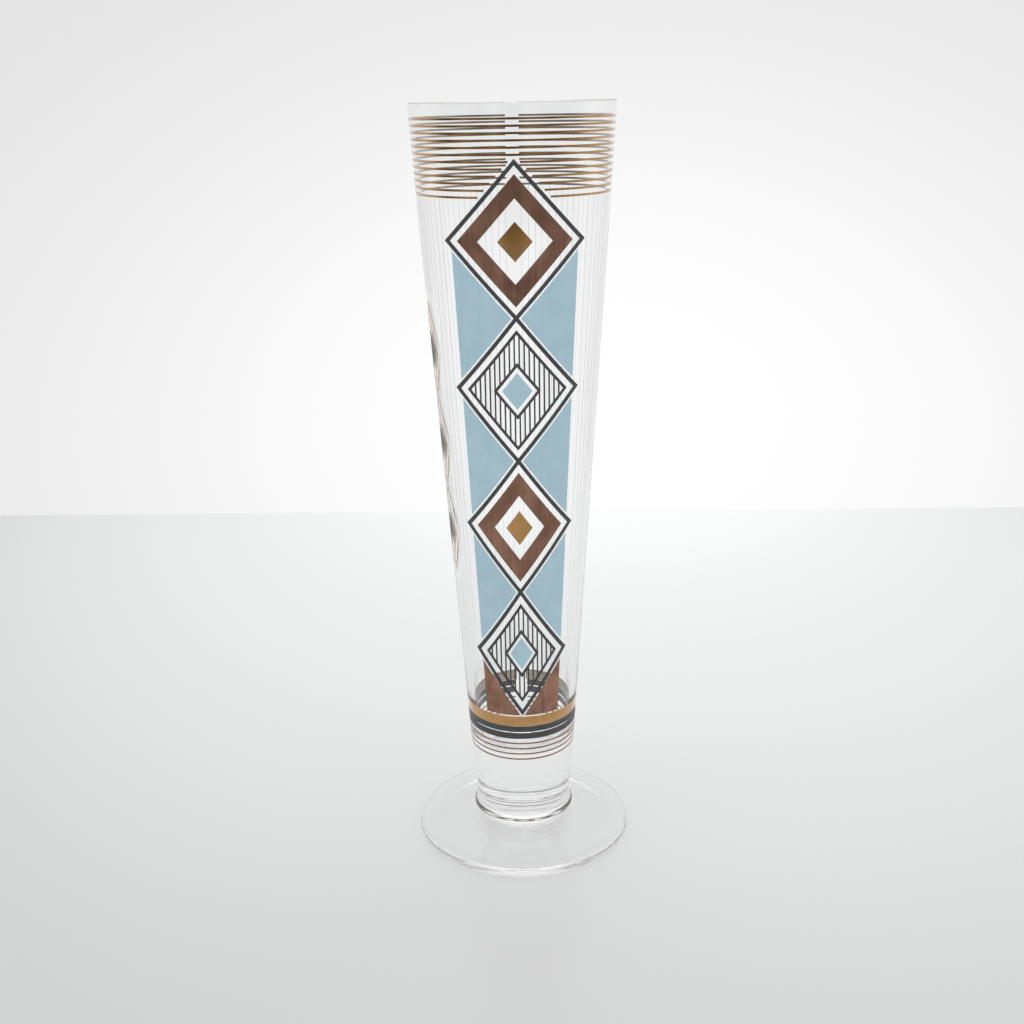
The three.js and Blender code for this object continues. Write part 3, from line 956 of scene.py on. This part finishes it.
makeGoldField()
latticePatches = columnPatches(lozenges, motifSettings["latticeLine"])
filmPiece("lattice_film", latticePatches, "lattice", *charcoal)
chainPatches = columnPatches(chain, chainSettings["line"], chainSettings["azimuth"])
filmPiece("side_chain_film", chainPatches, "side_chain", *gold)
for number, lozenge in zip(chainSettings["numbers"], chain):
    patch = solidPatch(lozenge, chainSettings["coreShare"], chainSettings["azimuth"])
    filmPiece(f"side_diamond_{number}_film", [patch], f"side_diamond_{number}", *charcoal)
print("gold field, lattice and chain made")


insideWindow = motifSettings["latticeLine"] / 2 + motifSettings["windowGap"]


def makeCopperLozenge(name, lozenge):
    frame = framePatches(lozenge, insideWindow, insideWindow + motifSettings["copperFrame"])
    filmPiece(f"copper_lozenge_{name}_film", frame, f"copper_lozenge_{name}", *copper)
    core = solidPatch(lozenge, motifSettings["coreShare"])
    filmPiece(f"gold_diamond_{name}_film", [core], f"gold_diamond_{name}", *gold)


# Height of a lozenge's sloping side above its middle at a sideways distance
def sideRise(tips, x):
    w = tips[0][0]
    h = tips[1][1] - tips[0][1]
    return h * max(0.0, 1 - abs(x) / w)


# Upright stripes run from the frame's inner edge to the inner window's outer edge
def makeStripedLozenge(name, lozenge):
    s = motifSettings
    middle, halfWidth, halfHeight = lozenge
    windowLozenge = (middle, halfWidth * s["coreWindowShare"], halfHeight * s["coreWindowShare"])
    patches = framePatches(lozenge, insideWindow, insideWindow + s["stripeFrame"])
    patches += framePatches(windowLozenge, 0, s["stripeFrame"])
    outerTips = lozengeTips(lozenge, insideWindow + s["stripeFrame"])
    windowTips = lozengeTips(windowLozenge, 0)
    stripes = math.floor(halfWidth / s["stripePitch"])
    for k in range(-stripes, stripes):
        x = [(k + 0.5) * s["stripePitch"] + side * s["stripe"] / 2 for side in (-1, 1)]
        top = [sideRise(outerTips, value) for value in x]
        bottom = [sideRise(windowTips, value) for value in x]
        if min(top) <= 0:
            continue
        along = max(2, cellCount(max(top)) // s["stripeCells"])
        for upward in (1, -1):
            corners = [
                (x[0], middle + upward * bottom[0]), (x[0], middle + upward * top[0]),
                (x[1], middle + upward * top[1]), (x[1], middle + upward * bottom[1]),
            ]
            patches.append(facingPatch(corners, along, 1))
    filmPiece(f"striped_lozenge_{name}_film", patches, f"striped_lozenge_{name}", *charcoal)
    core = solidPatch(lozenge, s["coreShare"])
    filmPiece(f"blue_diamond_{name}_film", [core], f"blue_diamond_{name}", *paleBlue)


# A triangle with its sides moved in by one distance: each corner moves towards the centre of the
# inscribed circle by the share that the distance is of that circle's radius
def insetTriangle(a, b, c, inset):
    corners = np.array([a, b, c], float)
    opposite = np.array([math.dist(b, c), math.dist(c, a), math.dist(a, b)])
    centre = opposite @ corners / opposite.sum()
    doubled = abs((b[0] - a[0]) * (c[1] - a[1]) - (c[0] - a[0]) * (b[1] - a[1]))
    share = 1 - inset * opposite.sum() / doubled
    return centre + (corners - centre) * share


def trianglePatch(corners):
    a, b, c = corners
    along = cellCount(max(math.dist(a, b), math.dist(a, c)))
    across = cellCount(math.dist(b, c))
    return facingPatch([a, b, c, a], along, across)


def makeTriangles():
    for number, (above, below) in enumerate(zip(lozenges, lozenges[1:]), 1):
        for name, side in (("left", -1), ("right", 1)):
            triangle = insetTriangle(
                (0, above[0] - above[2]),
                (side * above[1], above[0]),
                (side * below[1], below[0]),
                clearOfLattice)
            node = f"blue_triangle_{number}_{name}"
            filmPiece(node + "_film", [trianglePatch(triangle)], node, *paleBlue)
    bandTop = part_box("gold_field")[0].z + fieldSettings["bandHeight"]
    cornerLow = bandTop + motifSettings["gap"] - clearOfLattice
    middle, halfWidth, halfHeight = lozenges[-1]
    tipX = halfWidth * (cornerLow - (middle - halfHeight)) / halfHeight
    for name, side in (("left", -1), ("right", 1)):
        triangle = insetTriangle(
            (side * tipX, cornerLow),
            (side * coneRadius(cornerLow) * motifSettings["widthShare"], cornerLow),
            (side * halfWidth, middle),
            clearOfLattice)
        node = f"copper_corner_{name}"
        filmPiece(node + "_film", [trianglePatch(triangle)], node, *copper)


makeCopperLozenge("upper", lozenges[0])
makeStripedLozenge("upper", lozenges[1])
makeCopperLozenge("lower", lozenges[2])
makeStripedLozenge("lower", lozenges[3])
makeTriangles()
print("front motif made")


# Stage: a pale table with a painted pool of light: its colour is painted darker away from the glow
# behind the glass. A tone is the painted level of the table at a distance from the glow, in metres.
stageSettings = {
    "tableBack": (0.373, 0.351),   # how far back its edge lies on the left and on the right,
    "tableBackAt": 0.33,           # this far out from the middle
    "tableFront": -0.9,
    "tableHalfWidth": 1.3,
    "tableThickness": 0.03,
    "edgeRound": 3 * mm,
    "edgeSegments": 4,
    "clearance": 0.05 * mm,
    "tint": (0.985, 1, 0.995),
    "roughness": 0.22,
    "gloss": 0.35,
    "glowPlace": (0.06, 0.66),
    "glowStretch": 1.7,   # the glow on the table is narrower from left to right than in depth
    # painted light on the table: levels from bright near the glow to darker farther away
    "paintedLightTones": [
        (0, 0.964), (0.3, 0.964), (0.4, 0.897), (0.5, 0.821), (0.6, 0.769),
        (0.7, 0.702), (0.8, 0.618), (0.86, 0.6), (1.0, 0.65),
    ],
}


def makeTable():
    s = stageSettings
    mesh = bpy.data.meshes.new("table")
    x = s["tableHalfWidth"]
    low, high = -s["tableThickness"], -s["clearance"]
    middle = sum(s["tableBack"]) / 2
    lean = (s["tableBack"][1] - s["tableBack"][0]) / 2 / s["tableBackAt"]
    outline = [
        (-x, s["tableFront"]), (x, s["tableFront"]),
        (x, middle + lean * x), (-x, middle - lean * x),
    ]
    verts = [(*corner, z) for z in (low, high) for corner in outline]
    faces = [(3, 2, 1, 0), (4, 5, 6, 7), (0, 1, 5, 4), (1, 2, 6, 5), (2, 3, 7, 6), (3, 0, 4, 7)]
    mesh.from_pydata(verts, [], faces)
    table = bpy.data.objects.new("table", mesh)
    bpy.context.scene.collection.objects.link(table)
    edge = table.modifiers.new("roundEdge", "BEVEL")
    edge.width = s["edgeRound"]
    edge.segments = s["edgeSegments"]
    material, shader = newMaterial("paintedGlowTable")
    nodes = material.node_tree.nodes
    link = material.node_tree.links.new
    place = nodes.new("ShaderNodeTexCoord")
    stretch = (s["glowStretch"], 1, 0)
    # The base colour is a painted pool of light: painted darker with the distance from the glow's
    # place
    reach = addReach(nodes, link, place.outputs["Object"], stretch, (*s["glowPlace"], 0))
    ramp = addRamp(nodes, s["paintedLightTones"], s["tint"])
    link(reach.outputs["Value"], ramp.inputs["Fac"])
    link(ramp.outputs["Color"], shader.inputs["Base Color"])
    shader.inputs["Roughness"].default_value = s["roughness"]
    shader.inputs["Specular IOR Level"].default_value = s["gloss"]
    mesh.materials.append(material)


# What stands round the table. Behind the glass a pale backdrop glows and falls off to all sides.
# The walls that reflections show go by the turn from the camera's side, in degrees: dark gaps and
# paler walls in front, bright ones behind, and above them all a bright ceiling.
roomSettings = {
    "walls": [
        (-180, 1.0), (-112, 1.0), (-97, 0.6), (-86, 0.16), (-64, 0.14), (-54, 0.34), (-40, 0.2),
        (-30, 0.2), (-20, 0.36), (-10, 0.12), (6, 0.1), (14, 0.3), (30, 0.3), (40, 0.14),
        (52, 0.2), (62, 0.45), (76, 0.7), (95, 1.0), (180, 1.0),
    ],
    "ceilingLow": 0.35,
    "ceilingHigh": 0.7,
    "ceiling": 1.0,
    "plain": 0.88,
    "glowPlace": (0.08, 0, -0.24),
    "glowStretch": (1, 0, 1.5),
    "glow": [
        (0, 1.0), (0.12, 0.998), (0.2, 0.973), (0.3, 0.929),
        (0.42, 0.859), (0.55, 0.807), (0.65, 0.782), (1, 0.75),
    ],
}


def makeWorld():
    s = roomSettings
    world = bpy.data.worlds.new("studio")
    bpy.context.scene.world = world
    world.use_nodes = True
    nodes = world.node_tree.nodes
    link = world.node_tree.links.new
    background = nodes["Background"]
    place = nodes.new("ShaderNodeTexCoord")
    axes = nodes.new("ShaderNodeSeparateXYZ")
    link(place.outputs["Generated"], axes.inputs[0])

    towards = addMath(nodes, "MULTIPLY", second=-1)
    link(axes.outputs["Y"], towards.inputs[0])
    turn = addMath(nodes, "ARCTAN2")
    link(axes.outputs["X"], turn.inputs[0])
    link(towards.outputs[0], turn.inputs[1])
    share = addRange(nodes, -math.pi, math.pi, 0, 1)
    link(turn.outputs[0], share.inputs["Value"])
    walls = addRamp(nodes, [(degrees / 360 + 0.5, level) for degrees, level in s["walls"]])
    link(share.outputs["Result"], walls.inputs["Fac"])
    ceiling = addRange(nodes, s["ceilingLow"], s["ceilingHigh"], 0, 1, smooth=True)
    link(axes.outputs["Z"], ceiling.inputs["Value"])
    reach = addReach(nodes, link, place.outputs["Generated"], s["glowStretch"], s["glowPlace"])
    backdrop = addRamp(nodes, s["glow"])
    link(reach.outputs["Value"], backdrop.inputs["Fac"])
    dimShare, wallSide, glowSide, dimWalls = addColorMix(nodes, "MULTIPLY")
    dimShare.default_value = 1
    link(walls.outputs["Color"], wallSide)
    link(backdrop.outputs["Color"], glowSide)
    amount, side, above, room = addColorMix(nodes)
    above.default_value = (s["ceiling"], s["ceiling"], s["ceiling"], 1)
    link(ceiling.outputs["Result"], amount)
    link(dimWalls, side)

    # Reflections show the room, and a plain studio lights the rest. The camera sees the backdrop,
    # also through glass, as long as the light was not mirrored on its way.
    rays = nodes.new("ShaderNodeLightPath")
    isGlossy, plainSide, roomSide, lit = addColorMix(nodes)
    plainSide.default_value = (s["plain"], s["plain"], s["plain"], 1)
    link(rays.outputs["Is Glossy Ray"], isGlossy)
    link(room, roomSide)
    seen = addMath(nodes, "MAXIMUM")
    link(rays.outputs["Is Camera Ray"], seen.inputs[0])
    link(rays.outputs["Is Transmission Ray"], seen.inputs[1])
    straight = addRange(nodes, 0, 1, 1, 0)
    link(rays.outputs["Glossy Depth"], straight.inputs["Value"])
    seenStraight = addMath(nodes, "MULTIPLY")
    link(seen.outputs[0], seenStraight.inputs[0])
    link(straight.outputs["Result"], seenStraight.inputs[1])
    isSeen, elseSide, seenSide, result = addColorMix(nodes)
    link(seenStraight.outputs[0], isSeen)
    link(lit, elseSide)
    link(backdrop.outputs["Color"], seenSide)
    link(result, background.inputs["Color"])


lampSettings = {
    "place": (0, 0.1, 1.1),
    "width": 0.9,
    "depth": 0.6,
    "watts": 3.0,
}


def makeTopLamp():
    s = lampSettings
    lamp = bpy.data.lights.new("topLamp", "AREA")
    lamp.shape = "RECTANGLE"
    lamp.size = s["width"]
    lamp.size_y = s["depth"]
    lamp.energy = s["watts"]
    holder = bpy.data.objects.new("topLamp", lamp)
    holder.location = s["place"]
    bpy.context.scene.collection.objects.link(holder)


cameraSettings = {
    "place": (-0.002316, -0.3979, 0.25),
    "tilt": 0.3195,
    "roll": -0.0186,
    "lens": 43.7,
    "sensorWidth": 36,
    "nearest": 0.01,
}


def makeCamera():
    s = cameraSettings
    camera = bpy.data.cameras.new("camera")
    camera.lens = s["lens"]
    camera.sensor_width = s["sensorWidth"]
    camera.clip_start = s["nearest"]
    holder = bpy.data.objects.new("camera", camera)
    tilt = Matrix.Rotation(math.pi / 2 - s["tilt"], 4, "X")
    roll = Matrix.Rotation(s["roll"], 4, "Z")
    holder.matrix_world = Matrix.Translation(s["place"]) @ tilt @ roll
    bpy.context.scene.collection.objects.link(holder)
    bpy.context.scene.camera = holder


makeTable()
makeWorld()
makeTopLamp()
makeCamera()
bpy.context.scene.view_settings.view_transform = "Standard"

# Light runs on inside thick clear glass through many inner reflections before it comes out. With
# the usual counts of bounces a black band shows along the foot's edge.
cycles = bpy.context.scene.cycles
cycles.max_bounces = 32
cycles.glossy_bounces = 24
cycles.transmission_bounces = 24
cycles.transparent_max_bounces = 32
print("stage, lamp and camera set")
